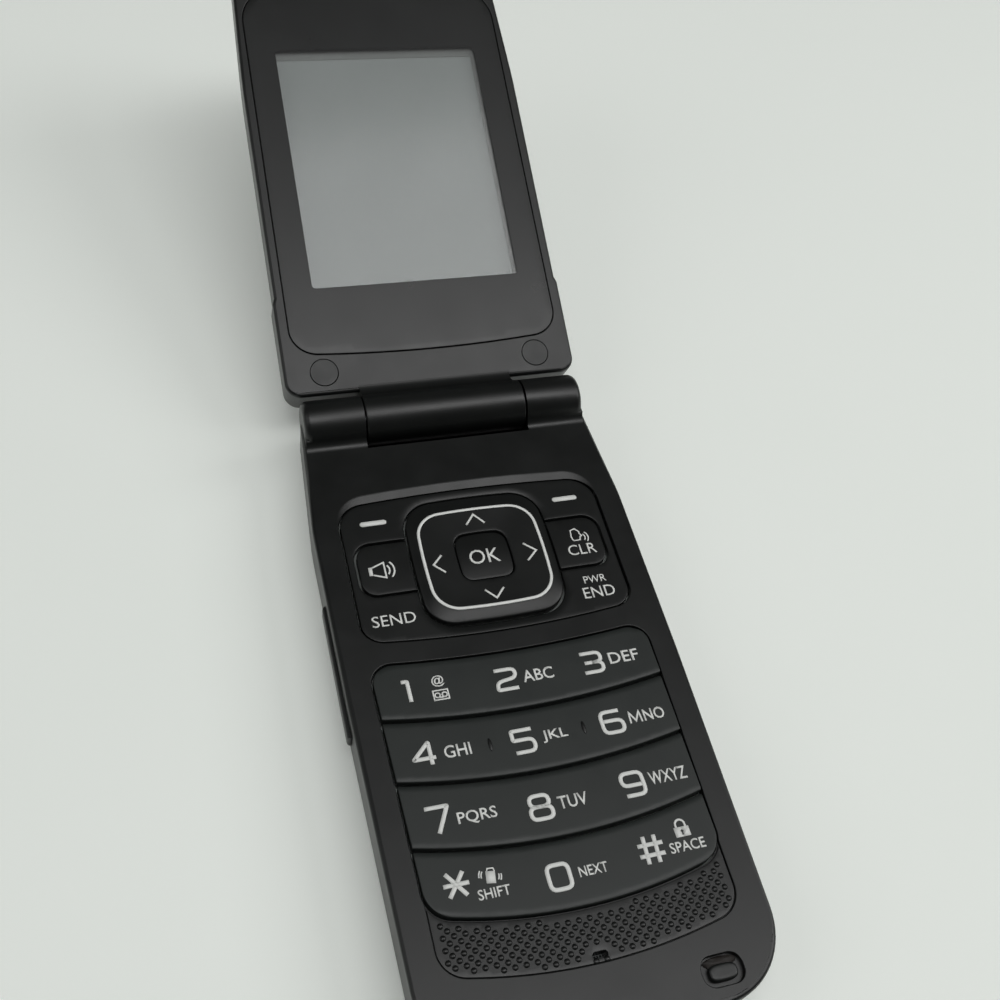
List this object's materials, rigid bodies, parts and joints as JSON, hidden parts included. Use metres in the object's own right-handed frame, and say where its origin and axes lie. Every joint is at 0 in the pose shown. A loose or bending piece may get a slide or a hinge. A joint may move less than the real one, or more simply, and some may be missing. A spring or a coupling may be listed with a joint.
{
  "type": "flip phone",
  "caption": "Clamshell mobile phone lying open, with curved rows of keys, a square navigation key, and a hinged lid that carries the display.",
  "frame": {"origin": "middle of the flat back of the base, on which the phone lies", "axes": "+X to the right of a user who faces the keypad, +Y from the chin towards the hinge and the lid, +Z out of the keypad"},
  "size_m": [0.0494, 0.1898, 0.0442],
  "materials": {
    "housing_plastic": "fine spark-eroded texture, satin black",
    "key_plastic": "soft-touch lacquered keycaps with white printed legends",
    "nav_plastic": "semi-gloss with a white moulded ring",
    "lens_acrylic": "clear hard-coated acrylic, black printed border on its back",
    "display_glass": "unlit reflective liquid crystal display",
    "inlay_plastic": "moulded pips",
    "soft_rubber": "matt",
    "clear_silicone": "translucent silicone",
    "circuit_board": "solder resist",
    "tinned_steel": "tin plated sheet",
    "polished_steel": "hardened and polished",
    "black_screw": "black zinc",
    "battery_wrap": "plain printed wrap, bare",
    "inner_plastic": "glass-filled nylon",
    "magnet_metal": "nickel plated neodymium",
    "polyimide": "amber polyimide film"
  },
  "bodies": {
    "base": {"front_housing": "housing_plastic", "rear_housing": "housing_plastic", "battery_pack": "battery_wrap", "battery_contacts": "inner_plastic", "main_board": "circuit_board", "dome_sheet": "tinned_steel", "keypad_rubber": "clear_silicone", "shield_can": "tinned_steel", "antenna_carrier": "inner_plastic", "loudspeaker": "inner_plastic", "microphone": "tinned_steel", "microphone_boot": "soft_rubber", "charging_socket": "tinned_steel", "headset_jack": "inner_plastic", "volume_switch_board": "circuit_board", "flex_connector": "inner_plastic", "hinge_flex_base_end": "polyimide", "hall_sensor": "inner_plastic", "chin_inlay": "inlay_plastic", "closing_bumpers": "soft_rubber", "base_screws": "black_screw", "hinge_cam_shaft": "polished_steel", "hinge_bush": "inner_plastic"},
    "lid": {"lid_inner_housing": "housing_plastic", "lid_outer_housing": "housing_plastic", "display_lens": "lens_acrylic", "display_module": "display_glass", "display_frame": "tinned_steel", "lid_board": "circuit_board", "receiver": "inner_plastic", "earpiece_mesh": "tinned_steel", "vibration_motor": "tinned_steel", "lid_magnet": "magnet_metal", "lid_flex_connector": "inner_plastic", "hinge_flex_lid_end": "polyimide", "hinge_cartridge": "polished_steel", "outer_lens": "lens_acrylic", "outer_display": "display_glass", "camera_module": "inner_plastic", "camera_window": "lens_acrylic", "screw_caps": "soft_rubber", "lid_screws": "black_screw"},
    "battery_cover": {"battery_cover": "housing_plastic"},
    "charger_port_cover": {"charger_port_cover": "soft_rubber"},
    "volume_rocker": {"volume_rocker": "key_plastic"},
    "function_plate": {"function_plate": "key_plastic"},
    "nav_seat": {"nav_seat": "inner_plastic"},
    "nav_ring": {"nav_ring": "nav_plastic"},
    "ok_key": {"ok_key": "key_plastic"},
    "key_row_1": {"key_row_1": "key_plastic"},
    "key_row_2": {"key_row_2": "key_plastic"},
    "key_row_3": {"key_row_3": "key_plastic"},
    "key_row_4": {"key_row_4": "key_plastic"},
    "speaker_key": {"speaker_key": "key_plastic"},
    "clear_key": {"clear_key": "key_plastic"}
  },
  "joints": [
    {"name": "lid_hinge", "type": "hinge", "parent": "base", "child": "lid", "pos_m": [0, 0.049, 0.0094], "axis": [1, 0, 0], "range_deg": [0, 158.3]},
    {"name": "row_1_press", "type": "slide", "parent": "base", "child": "key_row_1", "axis": [0, 0, -1], "range_m": [0, 0.00025], "stiffness_N_per_m": 300},
    {"name": "row_2_press", "type": "slide", "parent": "base", "child": "key_row_2", "axis": [0, 0, -1], "range_m": [0, 0.00025], "stiffness_N_per_m": 300},
    {"name": "row_3_press", "type": "slide", "parent": "base", "child": "key_row_3", "axis": [0, 0, -1], "range_m": [0, 0.00025], "stiffness_N_per_m": 300},
    {"name": "row_4_press", "type": "slide", "parent": "base", "child": "key_row_4", "axis": [0, 0, -1], "range_m": [0, 0.00025], "stiffness_N_per_m": 300},
    {"name": "speaker_key_press", "type": "slide", "parent": "base", "child": "speaker_key", "axis": [0, 0, -1], "range_m": [0, 0.00025], "stiffness_N_per_m": 300},
    {"name": "clear_key_press", "type": "slide", "parent": "base", "child": "clear_key", "axis": [0, 0, -1], "range_m": [0, 0.00025], "stiffness_N_per_m": 300},
    {"name": "ok_press", "type": "slide", "parent": "base", "child": "ok_key", "axis": [0, 0, -1], "range_m": [0, 0.00025], "stiffness_N_per_m": 300},
    {"name": "function_plate_rock", "type": "hinge", "parent": "base", "child": "function_plate", "pos_m": [0, 0.02085, 0.0076], "axis": [0, 1, 0], "range_deg": [-0.7, 0.7], "stiffness_Nm_per_rad": 0.08},
    {"name": "nav_up_down", "type": "hinge", "parent": "base", "child": "nav_seat", "pos_m": [0, 0.02085, 0.0076], "axis": [1, 0, 0], "range_deg": [-1, 1], "stiffness_Nm_per_rad": 0.04},
    {"name": "nav_left_right", "type": "hinge", "parent": "nav_seat", "child": "nav_ring", "pos_m": [0, 0.02085, 0.0079], "axis": [0, 1, 0], "range_deg": [-1, 1], "stiffness_Nm_per_rad": 0.04},
    {"name": "volume_rock", "type": "hinge", "parent": "base", "child": "volume_rocker", "pos_m": [-0.02193, 0.00725, 0.0054], "axis": [0, 0, 1], "range_deg": [-1, 1], "stiffness_Nm_per_rad": 0.04},
    {"name": "battery_cover_slide", "type": "slide", "parent": "base", "child": "battery_cover", "axis": [0, -1, 0], "range_m": [0, 0.012]},
    {"name": "charger_cover_hinge", "type": "hinge", "parent": "base", "child": "charger_port_cover", "pos_m": [0.02397, 0.02843, 0.0043], "axis": [0, 0, 1], "range_deg": [0, 90]}
  ]
}
